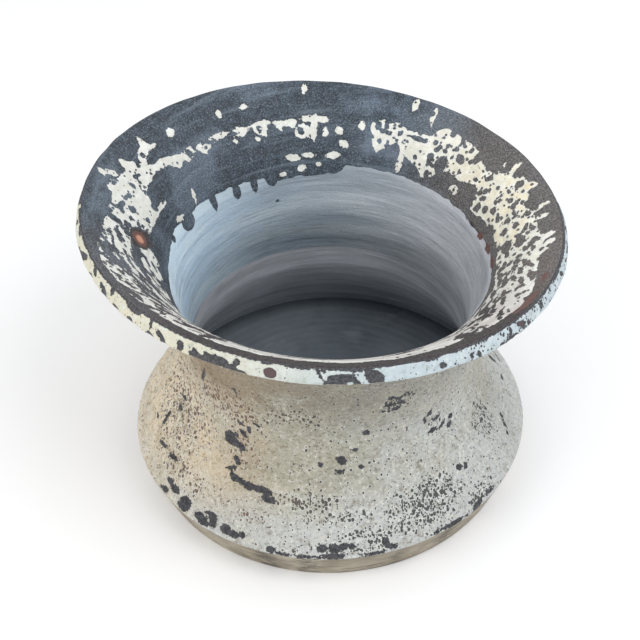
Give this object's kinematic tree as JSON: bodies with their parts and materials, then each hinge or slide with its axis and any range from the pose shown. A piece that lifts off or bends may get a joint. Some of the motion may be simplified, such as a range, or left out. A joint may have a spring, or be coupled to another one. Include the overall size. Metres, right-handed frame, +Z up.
{
  "type": "flared clay vessel",
  "caption": "Squat waisted terracotta vessel with a wide flared mouth, a sharp keel and a flat foot, thrown in sections that are luted together.",
  "frame": {"origin": "on the ground, on the vessel's upright axis, under the middle of its foot and of its rim", "axes": "+Z up out of the mouth; the rim dips towards +X; -Y faces the viewer"},
  "size_m": [0.3272, 0.3282, 0.234],
  "materials": {
    "grey_floor_clay": "matte blue-grey wash over fired clay",
    "bare_tan_clay": "worn tan slip with horizontal scratches",
    "painted_shoulder_clay": "weathered, pitted cream paint over a dark coat and terracotta",
    "charcoal_mouth_clay": "charcoal coat with flaking cream paint, grey wash in the throat",
    "painted_lip_clay": "chipped pale paint over a dark coat and terracotta"
  },
  "bodies": {
    "root": {"floor_slab": "grey_floor_clay", "foot_ring": "bare_tan_clay", "shoulder_wall": "painted_shoulder_clay", "flared_mouth": "charcoal_mouth_clay", "lip_coil": "painted_lip_clay"}
  },
  "joints": []
}
